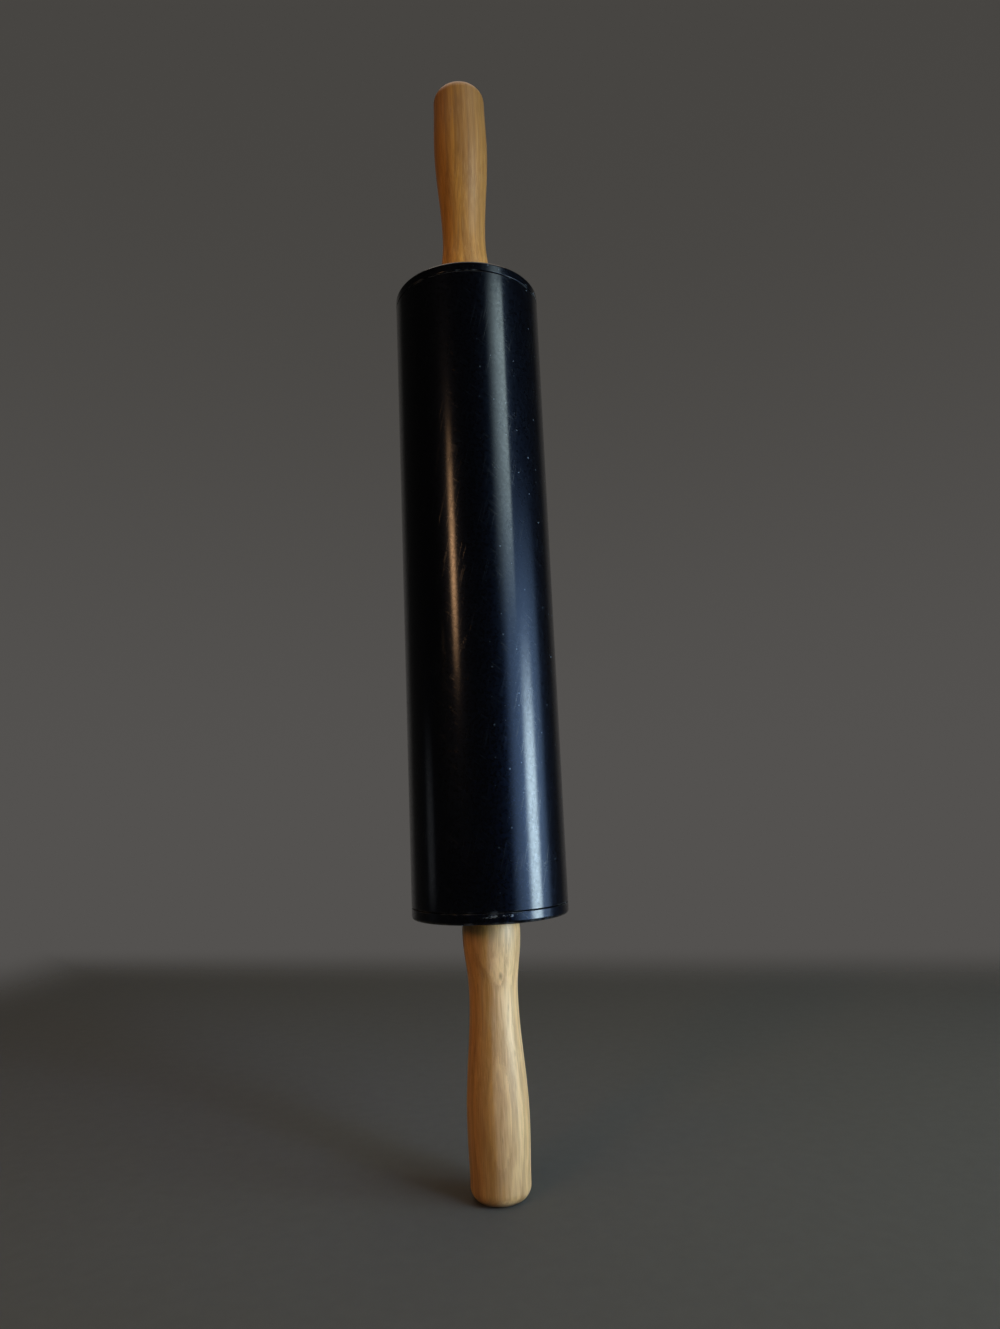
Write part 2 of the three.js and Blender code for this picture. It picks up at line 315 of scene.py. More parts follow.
def to_mesh(name, vertices, faces, normals=None):
    """Smooth mesh with the given normals, or with edges bent by more than SHARP_ANGLE left sharp."""
    mesh = bpy.data.meshes.new(name)
    mesh.from_pydata(vertices.tolist(), [], faces)
    mesh.polygons.foreach_set("use_smooth", np.ones(len(mesh.polygons), bool))
    if normals is None:
        mesh.set_sharp_from_angle(angle=SHARP_ANGLE)
    else:
        mesh.normals_split_custom_set_from_vertices(normals.tolist())
    return mesh


def spun(name, outline, sides, place, closed=True, middle=(0, 0), radius=None, height=None):
    """Surface of revolution: outline point i on side j is at radius i, turned by j / sides, at height i.

    place is (base Z, way). radius and height may be given for each point and side, as on threads and cages.
    An outline that is not closed starts and ends on the axis, where its ring of points is one pole.
    """
    points, normals = outline
    base, way = place
    turn = 2 * np.pi * np.arange(sides) / sides
    radius = points[:, :1] if radius is None else radius
    height = points[:, 1:] if height is None else height
    across = radius * np.cos(turn)
    surface = np.stack((
        middle[0] + across,
        middle[1] + radius * np.sin(turn),
        base + way * np.broadcast_to(height, across.shape),
    ), axis=2) * MM
    facing = np.zeros(surface.shape)
    if normals is not None:
        facing[:, :, 0] = normals[:, :1] * np.cos(turn)
        facing[:, :, 1] = normals[:, :1] * np.sin(turn)
        facing[:, :, 2] = way * normals[:, 1:]
    if closed:
        vertices, facing = surface.reshape(-1, 3), facing.reshape(-1, 3)
        faces = grid_faces(len(points), sides, True, way < 0).tolist()
    else:
        vertices = np.vstack((surface[1:-1].reshape(-1, 3), surface[0, :1], surface[-1, :1]))
        facing = np.vstack((facing[1:-1].reshape(-1, 3), facing[0, :1], facing[-1, :1]))
        rows = len(points) - 2
        faces = grid_faces(rows, sides, False, way < 0).tolist() + pole_faces(rows, sides, way < 0).tolist()
    return to_mesh(name, vertices, faces, None if normals is None else facing)


def dress(mesh, node, material):
    """Puts a finished surface in place of its CAD node, on the node's body and in its material slot."""
    mesh.materials.append(material)
    piece = new_object(mesh.name, mesh)
    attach(piece, body_of_node[node])
    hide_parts(node)


# Pieces


def roller_tube():
    """Rolled tube between the caps, with eased edges at both ends."""
    half = (TUBE_HIGH.z - TUBE_LOW.z) / 2
    inner = ROLLER_RADIUS - TUBE_WALL
    outline = ring_outline(inner, ROLLER_RADIUS, -half, half, EDGE_ROUND)
    return spun("roller_tube_surface", outline, ROLLER_SIDES, WHOLE)


def end_cap(end):
    """Cap spun from one outline: spigot, rim, dished face, boss, hole, bearing seat, hub and web."""
    outline = rounded([
        (SPIGOT_RADIUS, SPIGOT_END, SPIGOT_ROUND),
        (SPIGOT_RADIUS, RIM_BOTTOM, SPIGOT_CORNER_ROUND),
        (ROLLER_RADIUS, RIM_BOTTOM, EDGE_ROUND),
        (ROLLER_RADIUS, 0, RIM_ROUND),
        (LIP_RADIUS, 0, DISH_ROUND),
        (DISH_RADIUS, -DISH_DEPTH, DISH_ROUND),
        (BOSS_RADIUS, -DISH_DEPTH, BOSS_FOOT_ROUND),
        (BOSS_RADIUS + BOSS_FACE, BOSS_FACE, BOSS_ROUND),
        (HOLE_RADIUS, BOSS_FACE, BOSS_ROUND),
        (HOLE_RADIUS, SEAT_TOP, SEAT_EDGE_ROUND),
        (SEAT_RADIUS, SEAT_TOP, SEAT_ROUND),
        (SEAT_RADIUS, HUB_END, HUB_ROUND),
        (HUB_RADIUS, HUB_END, HUB_ROUND),
        (HUB_RADIUS, WEB_BOTTOM, WEB_ROUND),
        (SPIGOT_RADIUS - SPIGOT_WALL, WEB_BOTTOM, WEB_ROUND),
        (SPIGOT_RADIUS - SPIGOT_WALL, SPIGOT_END, SPIGOT_ROUND),
    ])
    return spun(f"{end}_end_cap_surface", outline, ROLLER_SIDES, ENDS[end])


def handle(end):
    """Turned handle: blind stepped bore, neck, bead, waist, belly and a rounded end with a flat middle.

    The neck is a quarter of an ellipse, the end a quarter of a circle, and half waves join them.
    """
    bore, bore_normals = rounded([
        (0, AXLE_POCKET[1], 0),
        (*AXLE_POCKET, POCKET_ROUND),
        (AXLE_POCKET[0], INSERT_POCKET[1], POCKET_ROUND),
        (*INSERT_POCKET, POCKET_ROUND),
        (INSERT_POCKET[0], NECK[1], MOUTH_ROUND),
        (*NECK, 0),
    ], closed=False)
    quarter = np.linspace(0, np.pi / 2, ARC_STEPS + 1)[:, None]
    neck = np.hstack((
        NECK[0] + (BEAD[0] - NECK[0]) * np.sin(quarter),
        BEAD[1] - (BEAD[1] - NECK[1]) * np.cos(quarter),
    ))
    end_round = np.hstack((
        SHOULDER[0] - END_ROUND + END_ROUND * np.cos(quarter[1:]),
        SHOULDER[1] + END_ROUND * np.sin(quarter[1:]),
    ))
    turning_points = (BEAD, WAIST, BELLY, SHOULDER)
    waves = [half_wave(*run) for run in zip(turning_points, turning_points[1:], WAVE_STEPS)]
    side = np.vstack((neck, *waves, end_round))
    points = np.vstack((bore[:-1], side, [[0, HANDLE_REACH]]))
    normals = np.vstack((bore_normals[:-1], side_normals(side), [[0, 1]]))
    return spun(f"{end}_handle_turned", (points, normals), HANDLE_SIDES, ENDS[end], closed=False)


def thread_wave(height, sides):
    """Share of the thread's depth at each height and side: a triangle wave along a right-handed helix."""
    turn = np.arange(sides) / sides
    return np.abs(2 * ((height[:, None] / THREAD_PITCH - turn) % 1) - 1)


def axle_rod():
    """Ground rod with a circlip groove near each end of the roller and threaded, chamfered ends.

    The thread is cut from the rod's radius and fades out at both of its ends.
    """
    groove_outer = END_REACH + CIRCLIP_TOP + CLEARANCE
    groove_inner = groove_outer - CIRCLIP_THICKNESS - 2 * CLEARANCE
    thread_start, tip = END_REACH + NECK[1] + THREAD_LEAD, END_REACH + AXLE_REACH
    run_out = 2 * THREAD_PITCH
    thread = np.arange(thread_start, tip - AXLE_CHAMFER, THREAD_STEP)
    upper = np.vstack((
        [[AXLE_RADIUS, groove_inner], [AXLE_GROOVE, groove_inner]],
        [[AXLE_GROOVE, groove_outer], [AXLE_RADIUS, groove_outer]],
        np.column_stack((np.full(len(thread), AXLE_RADIUS), thread)),
        [[AXLE_RADIUS, tip - AXLE_CHAMFER], [AXLE_RADIUS - AXLE_CHAMFER, tip], [0, tip]],
    ))
    points = np.vstack((upper[::-1] * (1, -1), upper))
    reach = np.abs(points[:, 1])
    fade = np.clip((reach - thread_start) / run_out, 0, 1) * np.clip((tip - reach) / run_out, 0, 1)
    cut = THREAD_DEPTH * fade[:, None] * thread_wave(points[:, 1], SMALL_SIDES)
    radius = points[:, :1] - cut
    return spun("axle_rod_threaded", (points, None), SMALL_SIDES, WHOLE, closed=False, radius=radius)


def groove_arc(shoulder, way):
    """Ball groove in a ring's shoulder, as an arc about the ball's middle that runs the given way."""
    reach = math.acos(abs(PITCH_RADIUS - shoulder) / GROOVE_RADIUS)
    side = 1 if shoulder > PITCH_RADIUS else -1
    turn = np.linspace(-way * reach, way * reach, GROOVE_STEPS + 1)
    return np.column_stack((
        PITCH_RADIUS + side * GROOVE_RADIUS * np.cos(turn),
        BEARING_MIDDLE + GROOVE_RADIUS * np.sin(turn),
    ))


def bearing_outer_ring(end):
    """Outer ring: eased corners outside, a step for each shield and a round ball groove inside."""
    seat = SHIELD_RADIUS + CLEARANCE
    step = SHIELD_INSET + SHIELD_THICKNESS + CLEARANCE
    points = np.vstack((
        [[seat, BEARING_BOTTOM], [BEARING_RADIUS - OUTER_EASING, BEARING_BOTTOM]],
        [[BEARING_RADIUS, BEARING_BOTTOM + OUTER_EASING], [BEARING_RADIUS, BEARING_TOP - OUTER_EASING]],
        [[BEARING_RADIUS - OUTER_EASING, BEARING_TOP], [seat, BEARING_TOP]],
        [[seat, BEARING_TOP - step], [OUTER_SHOULDER, BEARING_TOP - step]],
        groove_arc(OUTER_SHOULDER, -1),
        [[OUTER_SHOULDER, BEARING_BOTTOM + step], [seat, BEARING_BOTTOM + step]],
    ))
    return spun(f"{end}_bearing_outer_race", (points, None), SMALL_SIDES, ENDS[end])


def bearing_inner_ring(end):
    """Inner ring: eased corners at the bore and a round ball groove outside."""
    points = np.vstack((
        [[BORE, BEARING_BOTTOM + INNER_EASING], [BORE + INNER_EASING, BEARING_BOTTOM]],
        [[INNER_SHOULDER, BEARING_BOTTOM]],
        groove_arc(INNER_SHOULDER, 1),
        [[INNER_SHOULDER, BEARING_TOP]],
        [[BORE + INNER_EASING, BEARING_TOP], [BORE, BEARING_TOP - INNER_EASING]],
    ))
    return spun(f"{end}_bearing_inner_race", (points, None), SMALL_SIDES, ENDS[end])


def bearing_shield(end, side):
    """Pressed shield: a flat ring with rounded edges."""
    outer_side = BEARING_TOP - SHIELD_INSET - SHIELD_THICKNESS
    bottom = outer_side if side == "outer" else BEARING_BOTTOM + SHIELD_INSET
    top = bottom + SHIELD_THICKNESS
    outline = ring_outline(INNER_SHOULDER + SHIELD_GAP, SHIELD_RADIUS, bottom, top, SHIELD_ROUND)
    return spun(f"{end}_bearing_{side}_shield_pressed", outline, SMALL_SIDES, ENDS[end])


def bearing_ball(end, index):
    """Ground ball: half a circle spun about its own upright axis, at its place round the bearing."""
    turn = 2 * np.pi * index / BALL_COUNT
    way = ENDS[end][1]
    middle = (PITCH_RADIUS * np.cos(turn), way * PITCH_RADIUS * np.sin(turn))
    climb = np.linspace(-np.pi / 2, np.pi / 2, ARC_STEPS + 1)
    facing = np.column_stack((np.cos(climb), np.sin(climb)))
    facing[[0, -1], 0] = 0
    points = BALL_RADIUS * facing + (0, BEARING_MIDDLE)
    name = f"{end}_bearing_ball_{index + 1}_ground"
    return spun(name, (points, facing), BALL_SIDES, ENDS[end], closed=False, middle=middle)


def cage_ribbon(end, side):
    """Half of a pressed ball cage: a flat ribbon that bulges over each ball.

    Its height over the balls' plane is that of a sphere a little larger than the ball, or almost nothing
    between balls; the two ribbons of a cage mirror each other in that plane.
    """
    turn = 2 * np.pi * np.arange(FINE_SIDES) / FINE_SIDES
    step = 2 * np.pi / BALL_COUNT
    from_ball = np.abs((turn + step / 2) % step - step / 2)
    edges = np.array([[PITCH_RADIUS - CAGE_WIDTH / 2], [PITCH_RADIUS + CAGE_WIDTH / 2]])
    gap = edges ** 2 + PITCH_RADIUS ** 2 - 2 * edges * PITCH_RADIUS * np.cos(from_ball)
    over_ball = np.sqrt(np.maximum((GROOVE_RADIUS + RIBBON_GAP) ** 2 - gap, 0))
    near = np.maximum(over_ball, RIBBON_GAP)
    far = near + RIBBON_THICKNESS
    low, high = (near, far) if side == "outer" else (-far, -near)
    height = BEARING_MIDDLE + np.vstack((low, high[::-1]))
    points = np.vstack((edges, edges[::-1])) * (1, 0)
    return spun(f"{end}_bearing_cage_{side}_ribbon", (points, None), FINE_SIDES, ENDS[end], height=height)


def circlip(end):
    """Spring ring, open on one side: a flat bar bent round the axle's groove.

    Its outer radius swells from the gap to the far side as half a cosine wave, with a lug at both ends.
    """
    base, way = ENDS[end]
    turn = np.linspace(CIRCLIP_HALF_GAP, 2 * np.pi - CIRCLIP_HALF_GAP, FINE_SIDES)
    from_gap = np.minimum(turn, 2 * np.pi - turn) - CIRCLIP_HALF_GAP
    ring = CIRCLIP_NARROW + (CIRCLIP_WIDE - CIRCLIP_NARROW) * (1 - np.cos(turn)) / 2
    outer = ring + (LUG_RADIUS - ring) * np.clip((LUG_SPAN - from_gap) / LUG_EASE, 0, 1)
    inner = np.full(len(turn), AXLE_GROOVE + CLEARANCE)
    radius = np.column_stack((inner, outer, outer, inner))
    low, high = CIRCLIP_TOP - CIRCLIP_THICKNESS, CIRCLIP_TOP
    height = np.broadcast_to((low, low, high, high), radius.shape)
    surface = np.stack((
        radius * np.cos(turn)[:, None],
        radius * np.sin(turn)[:, None],
        base + way * height,
    ), axis=2) * MM
    first = np.arange(4)
    last = first[::-1] + 4 * (len(turn) - 1)
    ends = np.vstack((first, last))
    ends = ends[:, ::-1] if way < 0 else ends
    faces = grid_faces(len(turn), 4, False, way > 0).tolist() + ends.tolist()
    return to_mesh(f"{end}_circlip_stamped", surface.reshape(-1, 3), faces)


def spacer_collar(end):
    """Collar between the inner ring and the washer: a plain ring."""
    outline = ring_outline(BORE, INNER_SHOULDER, BEARING_TOP + CLEARANCE, COLLAR_TOP, COLLAR_ROUND)
    return spun(f"{end}_spacer_collar_turned", outline, SMALL_SIDES, ENDS[end])


def thrust_washer(end):
    """Washer under the handle's neck: a plain ring."""
    outline = ring_outline(BORE, WASHER_RADIUS, WASHER_BOTTOM, WASHER_TOP, WASHER_ROUND)
    return spun(f"{end}_thrust_washer_turned", outline, SMALL_SIDES, ENDS[end])


def threaded_insert(end):
    """Brass sleeve: diamond knurling above and below a drawn-in waist, and a bore with a thread.

    The knurling is the product of two waves that cross along opposite helices, cut inwards from the sleeve.
    """
    bottom, top = NECK[1], NECK[1] + INSERT_LENGTH
    middle = (bottom + top) / 2
    waist_low, waist_high = middle - INSERT_WAIST_LENGTH / 2, middle + INSERT_WAIST_LENGTH / 2
    rows = np.arange(bottom + INSERT_CHAMFER, top - INSERT_CHAMFER, KNURL_STEP)
    dip = np.clip((rows - waist_low + INSERT_WAIST) / INSERT_WAIST, 0, 1)
    dip *= np.clip((waist_high + INSERT_WAIST - rows) / INSERT_WAIST, 0, 1)
    outside = np.column_stack((INSERT_RADIUS - INSERT_WAIST * dip, rows))
    bore = np.arange(top - INSERT_LEAD, bottom + INSERT_LEAD / 2, -THREAD_STEP)
    points = np.vstack((
        [[BORE + INSERT_MOUTH, bottom], [INSERT_RADIUS - INSERT_CHAMFER, bottom]],
        outside,
        [[INSERT_RADIUS - INSERT_CHAMFER, top], [BORE + INSERT_MOUTH, top]],
        np.column_stack((np.full(len(bore), BORE), bore)),
    ))
    turn = 2 * np.pi * np.arange(FINE_SIDES) / FINE_SIDES
    lead = KNURL_COUNT / INSERT_RADIUS * points[:, 1:]
    knurl = np.abs(np.sin((KNURL_COUNT * turn + lead) / 2) * np.sin((KNURL_COUNT * turn - lead) / 2))
    on_outside, in_bore = np.zeros((2, len(points), 1))
    on_outside[2:2 + len(rows), 0] = 1 - dip
    in_bore[-len(bore):] = 1
    cut = KNURL_DEPTH * on_outside * (1 - knurl)
    groove = THREAD_DEPTH * in_bore * (1 - thread_wave(points[:, 1], FINE_SIDES))
    radius = points[:, :1] - cut + groove
    return spun(f"{end}_threaded_insert_knurled", (points, None), FINE_SIDES, ENDS[end], radius=radius)


# Nodes: Map Range's and Mix's sockets go by number, because several of them share a name

VALUE, LOW, HIGH, TO_LOW, TO_HIGH = range(5)
FACTOR, UNDER, OVER = 0, 6, 7
SMOOTH = {"interpolation_type": "SMOOTHSTEP"}
COLOURS = {"data_type": "RGBA"}


def linear(hex_colour):
    """sRGB hex colour as linear red, green, blue and alpha."""
    srgb = np.array([int(hex_colour[i:i + 2], 16) for i in (1, 3, 5)]) / 255
    rgb = np.where(srgb <= 0.04045, srgb / 12.92, ((srgb + 0.055) / 1.055) ** 2.4)
    return (*rgb.tolist(), 1)


def add(tree, kind, inputs=None, **settings):
    """Adds a node and makes its settings.

    Its inputs are filled with values, with sockets, or with the first live output of other nodes.
    """
    made = tree.nodes.new("ShaderNode" + kind)
    for name, value in settings.items():
        setattr(made, name, value)
    for name, value in (inputs or {}).items():
        if isinstance(value, bpy.types.Node):
            value = next(output for output in value.outputs if output.enabled)
        if isinstance(value, bpy.types.NodeSocket):
            tree.links.new(value, made.inputs[name])
        else:
            made.inputs[name].default_value = value
    return made


def new_material(name):
    """An empty material, its node tree, and the piece's own coordinates in mm."""
    material = bpy.data.materials.new(name)
    material.use_nodes = True
    tree = material.node_tree
    tree.nodes.clear()
    own = add(tree, "TexCoord").outputs["Object"]
    place = add(tree, "VectorMath", {0: own, "Scale": 1 / MM}, operation="SCALE")
    return material, tree, place


def surface_of(material, inputs):
    """Ends a material with its shader."""
    tree = material.node_tree
    shader = add(tree, "BsdfPrincipled", inputs)
    add(tree, "OutputMaterial", {"Surface": shader})
    return material


# Black coating: sizes of its patterns
WORN_PATCH = 12
MOTTLE = 1.3
GRIT = 0.8
GRIT_HEIGHT = 0.012
FILM_WAVE = 2.5
FILM_HEIGHT = 0.003

# Specks of flour in a share of the cells of a net; they fade in beside the axis, on the +X side
SPECK_NET = 5
SPECK_RADIUS = 0.45
SPECK_SHARE = 0.35
FLOUR_EDGE = 10

# Hairline scratches, each kind by its slope in degrees and its length, drawn wider than real ones to show
SCRATCHES = ((75, 20), (-40, 9))
SCRATCH_WIDTH = 0.2
SCRATCH_DEPTH = 0.02

# Runs of chips in the rims' coating: the end, and the middle and half-width in degrees from the front
CHIP_SIZE = 2
CHIP_DROP = 1.1
CHIP_HEIGHT = 0.45
CHIPPED_RUNS = (("lower", 8, 12), ("lower", 152, 9), ("upper", -118, 10), ("upper", 74, 5))

# Edges rubbed down in runs, each fading between two distances from its seam or corner
RUBBED_RUN = 5
SEAM_RUBBED = (0.6, 0.25)
CORNER_RUBBED = (1, 0.72)


def worn_gloss(tree, place):
    """Wear that dulls the gloss: fine mottling, a little stronger in patches."""
    patch = add(tree, "TexNoise", {"Vector": place, "Scale": 1 / WORN_PATCH, "Detail": 3, "Roughness": 0.6})
    patch = add(tree, "MapRange", {VALUE: patch, LOW: 0.3, HIGH: 0.7, TO_LOW: 0.6})
    mottle = add(tree, "TexNoise", {"Vector": place, "Scale": 1 / MOTTLE, "Detail": 3, "Roughness": 0.65})
    mottle = add(tree, "MapRange", {VALUE: mottle, LOW: 0.35, HIGH: 0.7})
    return add(tree, "Math", {0: patch, 1: mottle}, operation="MULTIPLY")


def flour_specks(tree, unrolled, sideways):
    """Round specks of chance sizes, one to a cell, on the side that lay in the flour."""
    cell = add(tree, "TexVoronoi", {"Vector": unrolled, "Scale": 1 / SPECK_NET}, voronoi_dimensions="2D")
    chance = add(tree, "SeparateColor", {0: cell.outputs["Color"]})
    reach = add(tree, "MapRange", {VALUE: chance, LOW: 1 - SPECK_SHARE, TO_HIGH: SPECK_RADIUS / SPECK_NET})
    speck = add(tree, "MapRange", {VALUE: cell, LOW: reach, HIGH: 0})
    floured = add(tree, "MapRange", {VALUE: sideways, HIGH: FLOUR_EDGE})
    return add(tree, "Math", {0: speck, 1: floured}, operation="MULTIPLY")


def hairline_scratches(tree, unrolled):
    """Peaks of noise that is drawn out along each slope."""
    scratch = 0.0
    for slope, length in SCRATCHES:
        drawn = {0: unrolled, "Rotation": (0, 0, math.radians(slope)), "Scale": (length, SCRATCH_WIDTH, 1)}
        drawn = add(tree, "Mapping", drawn, vector_type="TEXTURE")
        line = add(tree, "TexNoise", {"Vector": drawn, "Scale": 1, "Detail": 0}, noise_dimensions="2D")
        line = add(tree, "MapRange", {VALUE: line, LOW: 0.8, HIGH: 0.9})
        scratch = add(tree, "Math", {0: scratch, 1: line}, operation="MAXIMUM")
    return scratch


def chips(tree, place, height, turn):
    """Ragged chips 1 to 3 mm long in the rims beside the seams, in a few runs round each end."""
    ragged = add(tree, "VectorMath", {0: place, 1: (1, 1, 2)}, operation="MULTIPLY")
    chip = add(tree, "TexNoise", {"Vector": ragged, "Scale": 1 / CHIP_SIZE, "Detail": 3, "Roughness": 0.65})
    chip = add(tree, "MapRange", {VALUE: chip, LOW: 0.5, HIGH: 0.6})
    chipped = 0.0
    for end, azimuth, half in CHIPPED_RUNS:
        base, way = ENDS[end]
        rim = base + way * (RIM_BOTTOM + CHIP_DROP)
        near = add(tree, "Math", {0: height, 1: rim, 2: CHIP_HEIGHT}, operation="COMPARE")
        here = {0: turn, 1: math.radians(azimuth), 2: math.radians(half)}
        here = add(tree, "Math", here, operation="COMPARE")
        here = add(tree, "Math", {0: near, 1: here}, operation="MULTIPLY")
        chipped = add(tree, "Math", {0: chipped, 1: here}, operation="MAXIMUM")
    return add(tree, "Math", {0: chipped, 1: chip}, operation="MULTIPLY")


def rubbed_edges(tree, place, height, radius):
    """Steel laid bare in broken runs, on both sides of each seam and on the rims' outer corners."""
    reach = add(tree, "Math", {0: height, 1: ROLLER_MIDDLE}, operation="SUBTRACT")
    reach = add(tree, "Math", {0: reach}, operation="ABSOLUTE")
    seam = add(tree, "Math", {0: reach, 1: END_REACH + RIM_BOTTOM - SEAM / 2}, operation="SUBTRACT")
    seam = add(tree, "Math", {0: seam}, operation="ABSOLUTE")
    corner = add(tree, "Math", {0: radius, 1: reach}, operation="ADD")
    corner = add(tree, "Math", {0: ROLLER_RADIUS + END_REACH, 1: corner}, operation="SUBTRACT")
    seam = add(tree, "MapRange", {VALUE: seam, LOW: SEAM_RUBBED[0], HIGH: SEAM_RUBBED[1]})
    corner = add(tree, "MapRange", {VALUE: corner, LOW: CORNER_RUBBED[0], HIGH: CORNER_RUBBED[1]})
    rubbed = add(tree, "Math", {0: seam, 1: corner}, operation="MAXIMUM")
    runs = add(tree, "TexNoise", {"Vector": place, "Scale": 1 / RUBBED_RUN, "Detail": 4, "Roughness": 0.7})
    runs = add(tree, "MapRange", {VALUE: runs, LOW: 0.5, HIGH: 0.78, TO_HIGH: 0.3})
    return add(tree, "Math", {0: rubbed, 1: runs}, operation="MULTIPLY")


def black_coating():
    """Steel with a sprayed and baked black coating.

    It gives the eye a deep gloss, a blue haze round each reflection where use has dulled it in patches, the
    faint waviness of sprayed film, pale specks of flour, hairline scratches, and bare steel at chips along
    the seams.
    """
    material, tree, place = new_material("sprayed_black_coating_on_steel")
    sideways, back, height = add(tree, "SeparateXYZ", {0: place}).outputs
    away = add(tree, "Math", {0: back, 1: -1}, operation="MULTIPLY")
    turn = add(tree, "Math", {0: sideways, 1: away}, operation="ARCTAN2")
    radius = add(tree, "VectorMath", {0: place, 1: (1, 1, 0)}, operation="MULTIPLY")
    radius = add(tree, "VectorMath", {0: radius}, operation="LENGTH")

    # The surface unrolled: the way round it, and the way along it, which is by radius on the end faces
    around = add(tree, "Math", {0: turn, 1: ROLLER_RADIUS}, operation="MULTIPLY")
    lengthwise = add(tree, "Math", {0: height, 1: radius}, operation="ADD")
    unrolled = add(tree, "CombineXYZ", {0: around, 1: lengthwise})

    dull = worn_gloss(tree, place)
    speck = flour_specks(tree, unrolled, sideways)
    scratch = hairline_scratches(tree, unrolled)
    chip = chips(tree, place, height, turn)
    rubbed = rubbed_edges(tree, place, height, radius)
    bare = add(tree, "Math", {0: chip, 1: rubbed}, operation="MAXIMUM")

    tone = add(tree, "Mix", {FACTOR: dull, UNDER: linear("#010102"), OVER: linear("#040508")}, **COLOURS)
    pale = add(tree, "Math", {0: scratch, 1: 0.05, 2: speck}, operation="MULTIPLY_ADD")
    for share, colour in ((pale, "#656F79"), (bare, "#A6A9AB")):
        tone = add(tree, "Mix", {FACTOR: share, UNDER: tone, OVER: linear(colour)}, **COLOURS)
    rough = add(tree, "MapRange", {VALUE: dull, TO_LOW: 0.27, TO_HIGH: 0.42})
    gloss = add(tree, "MapRange", {VALUE: dull, TO_LOW: 1, TO_HIGH: 0.65})

    # Grit under the gloss, waves of the film, and scratches cut into the film
    grit = add(tree, "TexNoise", {"Vector": place, "Scale": 1 / GRIT, "Detail": 2})
    grit = add(tree, "Bump", {"Height": grit, "Strength": 1, "Distance": GRIT_HEIGHT * MM})
    film = add(tree, "TexNoise", {"Vector": place, "Scale": 1 / FILM_WAVE, "Detail": 1})
    film = add(tree, "Bump", {"Height": film, "Strength": 1, "Distance": FILM_HEIGHT * MM})
    cut = {"Height": scratch, "Strength": 0.4, "Distance": SCRATCH_DEPTH * MM, "Normal": film}
    cut = add(tree, "Bump", cut, invert=True)
    return surface_of(material, {
        "Base Color": tone,
        "Metallic": bare,
        "Roughness": rough,
        "Normal": grit,
        "IOR": 1.22,
        "Specular Tint": linear("#8FB4FF"),
        "Coat Weight": gloss,
        "Coat Roughness": 0.12,
        "Coat IOR": 1.34,
        "Coat Normal": cut,
    })


# Lacquered wood: widths of its patterns across the grain, and how far each is drawn out along it
FIBRE_WIDTH = 0.35
FIBRE_STRETCH = 40
STREAK_WIDTH = 0.8
BAND_WIDTH = 3
BAND_STRETCH = 12
WAVER_WIDTH = 9
WAVER_STRETCH = 12.5
PORE_NET = 0.8
PORE_STRETCH = 10
HOLLOW_WIDTH = 5
HOLLOW_STRETCH = 2
HOLLOW_DEPTH = 0.25
GRAIN_DEPTH = 0.03

# Other sizes in the wood: growth layers, the knot's swelling and eye, the edge and sway of the -X side tone
# (heartwood with painted side light), and the neck's dirt with painted shade
LAYER_SPACING = 2.6
KNOT_SQUEEZE = 0.45
SWELLING = (3, 0.4)
KNOT_EYE = (0.9, 0.2)
HEARTWOOD_AND_SIDE_LIGHT_EDGE = (9.5, 2.5)
SWAY = (5, 14)
DIRT_AND_SHADE_REACH = 5


def growth_layers(tree, sideways, back, height, pith, lean, shifts):
    """Share by which each growth layer has darkened, outwards from the pith, before it ends at an edge."""
    back = add(tree, "Math", {0: height, 1: -lean, 2: back}, operation="MULTIPLY_ADD")
    depth = add(tree, "CombineXYZ", {0: sideways, 1: back})
    depth = add(tree, "VectorMath", {0: depth, 1: (*pith, 0)}, operation="DISTANCE")
    for shift in shifts:
        depth = add(tree, "Math", {0: depth, 1: shift}, operation="ADD")
    layer = add(tree, "Math", {0: depth, 1: LAYER_SPACING}, operation="DIVIDE")
    layer = add(tree, "Math", {0: layer}, operation="FRACT")
    return add(tree, "MapRange", {VALUE: layer, LOW: 0.3}, **SMOOTH)


def short_pores(tree, place, late):
    """Pores 0.25 mm wide and about 3 mm long, most of them in the pale part of each layer."""
    short = add(tree, "VectorMath", {0: place, 1: (1, 1, 1 / PORE_STRETCH)}, operation="MULTIPLY")
    pore = add(tree, "TexVoronoi", {"Vector": short, "Scale": 1 / PORE_NET})
    chance = add(tree, "SeparateColor", {0: pore.outputs["Color"]})
    chance = add(tree, "MapRange", {VALUE: chance, LOW: 0.4, HIGH: 0.8})
    pore = add(tree, "MapRange", {VALUE: pore, LOW: 0.24, HIGH: 0.08})
    early = add(tree, "MapRange", {VALUE: late, TO_LOW: 1, TO_HIGH: 0.3})
    for share in (chance, early):
        pore = add(tree, "Math", {0: pore, 1: share}, operation="MULTIPLY")
    return pore


def end_grain_share(tree):
    """How much the surface shows end grain, by how far it faces along the axis."""
    facing = add(tree, "SeparateXYZ", {0: add(tree, "TexCoord").outputs["Normal"]})
    facing = add(tree, "Math", {0: facing.outputs[2]}, operation="ABSOLUTE")
    return add(tree, "MapRange", {VALUE: facing, LOW: 0.35, HIGH: 0.9}, **SMOOTH)


def neck_dirt_and_shade(tree, height, streak):
    """Dirt in the streaks of the neck's last few millimetres, with painted contact shade under the roller's
    end.
    """
    dirt_and_shade = add(tree, "MapRange", {VALUE: height, LOW: NECK[1] + DIRT_AND_SHADE_REACH, HIGH: NECK[1]}, **SMOOTH)
    held = add(tree, "MapRange", {VALUE: streak, LOW: 0.42, HIGH: 0.62, TO_LOW: 0.2})
    return add(tree, "Math", {0: dirt_and_shade, 1: held}, operation="MULTIPLY")


